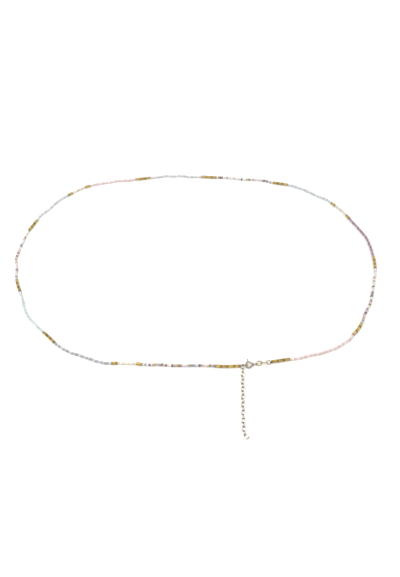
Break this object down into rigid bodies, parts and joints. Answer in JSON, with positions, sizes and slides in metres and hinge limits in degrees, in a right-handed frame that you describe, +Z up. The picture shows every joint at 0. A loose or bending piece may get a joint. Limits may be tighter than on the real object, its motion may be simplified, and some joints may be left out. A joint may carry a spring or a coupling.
{
  "type": "belly chain",
  "caption": "Beaded belly chain laid as an open oval loop: strung seed beads with gold tube beads, a spring ring clasp and a link extender chain.",
  "frame": {"origin": "centre of the bounding box, on the floor that the chain lies on", "axes": "+X along the loop's long way, to the right of one who faces the clasp; -Y toward the clasp and the extender chain; +Z up"},
  "size_m": [0.2978, 0.2726, 0.0035],
  "materials": {
    "pastel_glass": "glossy opaque and pearl seed beads in pastel colours",
    "gold_lined_tube": "glossy gold-lined glass",
    "pale_gold_plate": "polished pale gold plate"
  },
  "bodies": {
    "chain": {"bead_string_right": "pastel_glass", "bead_string_left": "pastel_glass", "gold_tube_01": "gold_lined_tube", "gold_tube_02": "gold_lined_tube", "gold_tube_03": "gold_lined_tube", "gold_tube_04": "gold_lined_tube", "gold_tube_05": "gold_lined_tube", "gold_tube_06": "gold_lined_tube", "gold_tube_07": "gold_lined_tube", "gold_tube_08": "gold_lined_tube", "gold_tube_09": "gold_lined_tube", "gold_tube_10": "gold_lined_tube", "gold_tube_11": "gold_lined_tube", "gold_tube_12": "gold_lined_tube", "gold_tube_13": "gold_lined_tube", "gold_tube_14": "gold_lined_tube", "gold_tube_15": "gold_lined_tube", "gold_tube_16": "gold_lined_tube", "gold_tube_17": "gold_lined_tube", "gold_tube_18": "gold_lined_tube", "gold_tube_19": "gold_lined_tube", "gold_tube_20": "gold_lined_tube", "gold_tube_21": "gold_lined_tube", "gold_tube_22": "gold_lined_tube", "gold_tube_23": "gold_lined_tube", "gold_tube_24": "gold_lined_tube", "gold_tube_25": "gold_lined_tube", "gold_tube_26": "gold_lined_tube", "gold_tube_27": "gold_lined_tube", "gold_tube_28": "gold_lined_tube", "gold_tube_29": "gold_lined_tube", "gold_tube_30": "gold_lined_tube", "gold_tube_31": "gold_lined_tube", "gold_tube_32": "gold_lined_tube", "gold_tube_33": "gold_lined_tube", "gold_tube_34": "gold_lined_tube", "gold_tube_35": "gold_lined_tube", "gold_tube_36": "gold_lined_tube", "gold_tube_37": "gold_lined_tube", "clasp_ring": "pale_gold_plate", "end_link_left": "pale_gold_plate", "connector_link_1": "pale_gold_plate", "connector_link_2": "pale_gold_plate", "connector_link_3": "pale_gold_plate", "end_ring_right": "pale_gold_plate", "extender_chain": "pale_gold_plate"},
    "bolt": {"clasp_bolt": "pale_gold_plate"}
  },
  "joints": [
    {"name": "clasp_bolt_turn", "type": "hinge", "parent": "chain", "child": "bolt", "pos_m": [0.03909, -0.07714, 0.00149], "axis": [0.0727, -0.4163, 0.9063], "range_deg": [0, 52], "stiffness_Nm_per_rad": 0.0002, "springref_deg": -17.19}
  ]
}
